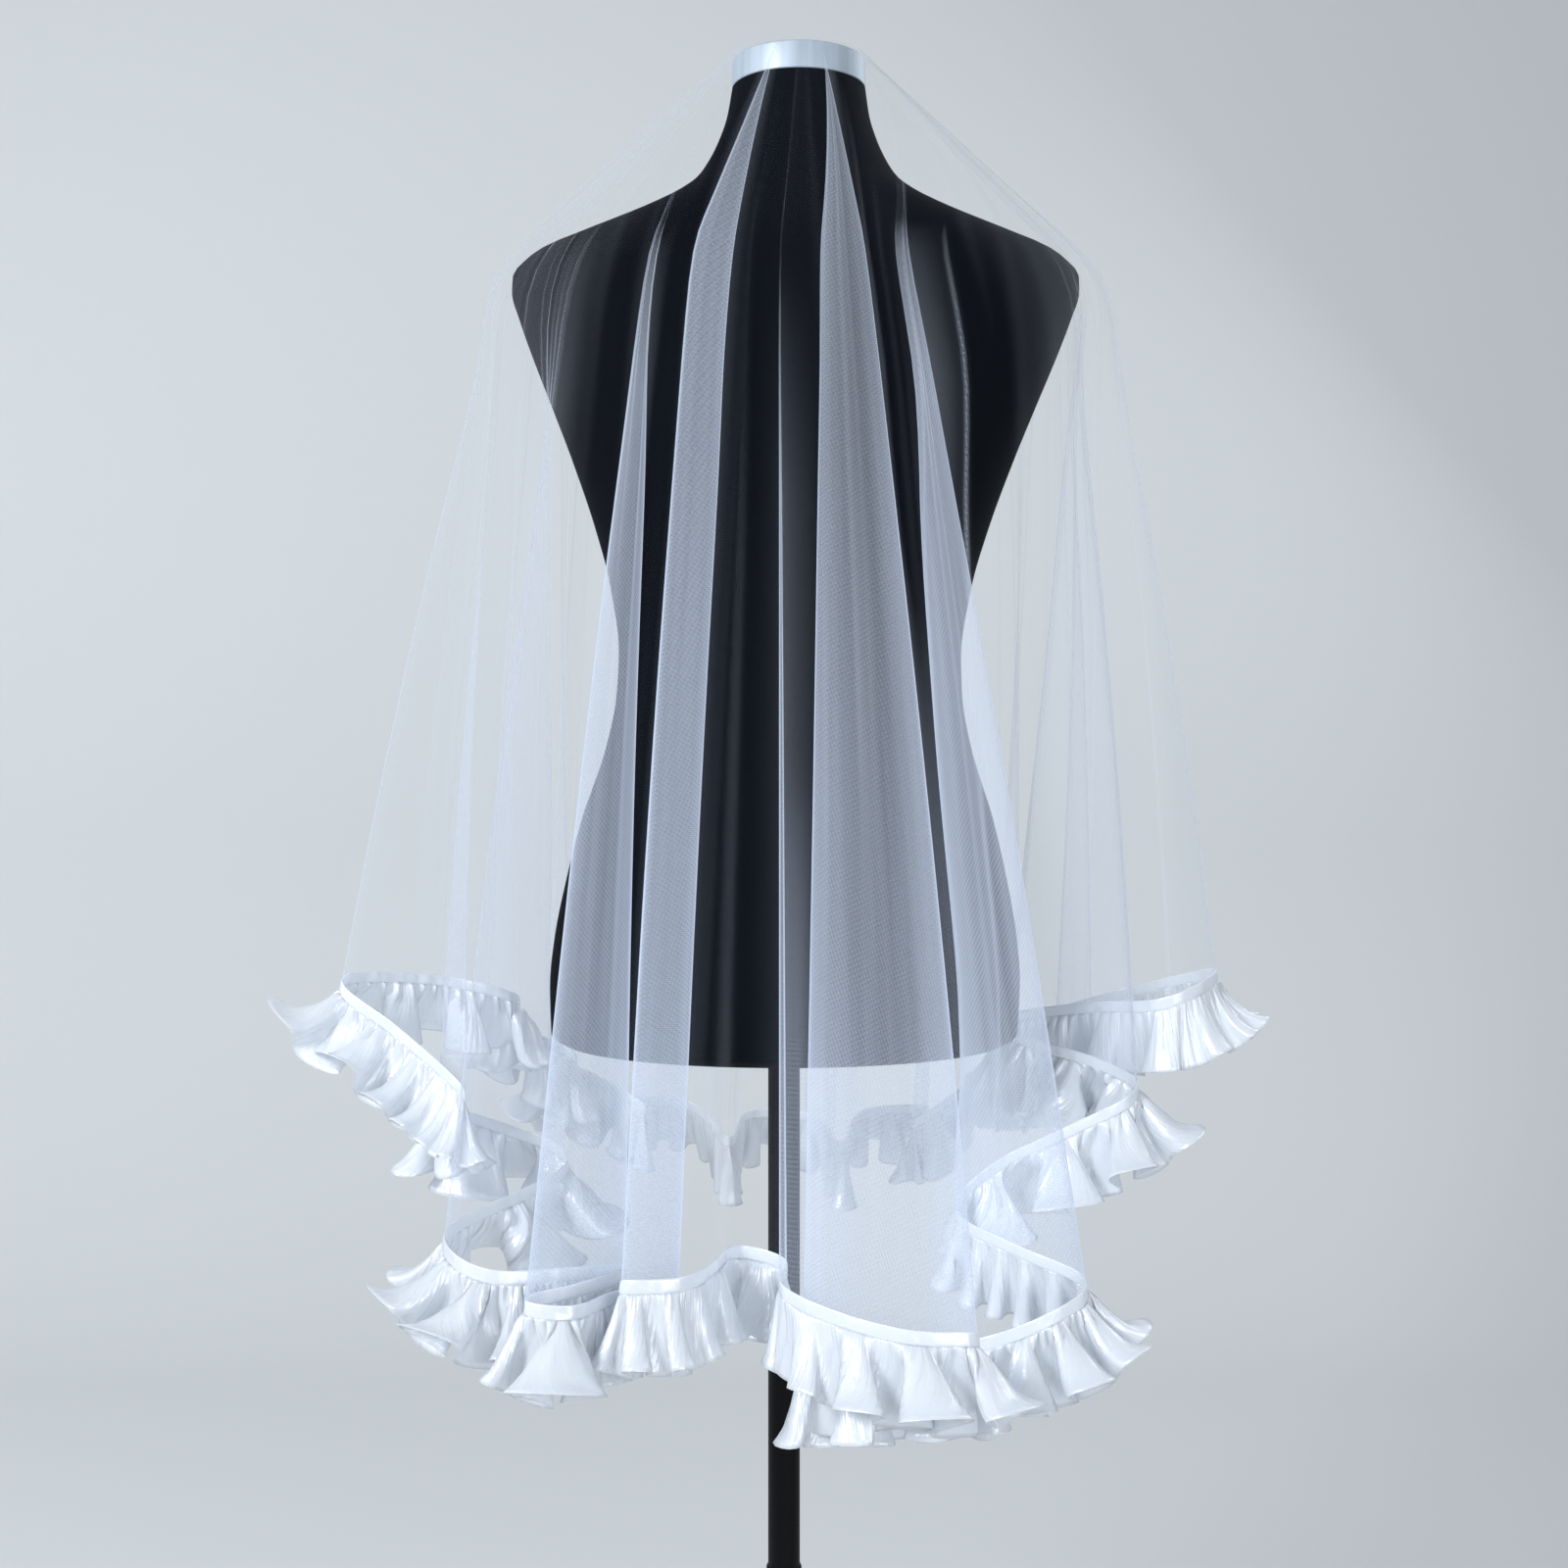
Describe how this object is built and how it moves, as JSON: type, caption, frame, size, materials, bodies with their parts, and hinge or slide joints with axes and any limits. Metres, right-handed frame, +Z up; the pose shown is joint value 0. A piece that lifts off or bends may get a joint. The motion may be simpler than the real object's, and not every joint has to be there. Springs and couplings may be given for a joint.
{
  "type": "bridal drop veil on a limbless dress form and stand",
  "caption": "Oval tulle drop veil with a gathered satin ruffle hem, draped in flutes over a limbless dress form on a pole stand.",
  "frame": {"origin": "on the floor under the middle of the stand's base, at its flat underside", "axes": "+Z up, -Y the front of the drape, +X the side at the right of the front view"},
  "size_m": [0.6999, 0.5495, 1.5366],
  "materials": {
    "tulle": "fine open net, sheer",
    "satin": "soft satin gloss",
    "jersey": "matt stretch jersey",
    "silver_card": "silver-white, glossy",
    "black_metal": "satin black paint"
  },
  "bodies": {
    "root": {"stand_base": "black_metal", "stand_pole": "black_metal", "dress_form": "jersey", "neck_cap": "silver_card", "veil_tulle": "tulle", "hem_band": "satin", "satin_ruffle": "satin"}
  },
  "joints": []
}
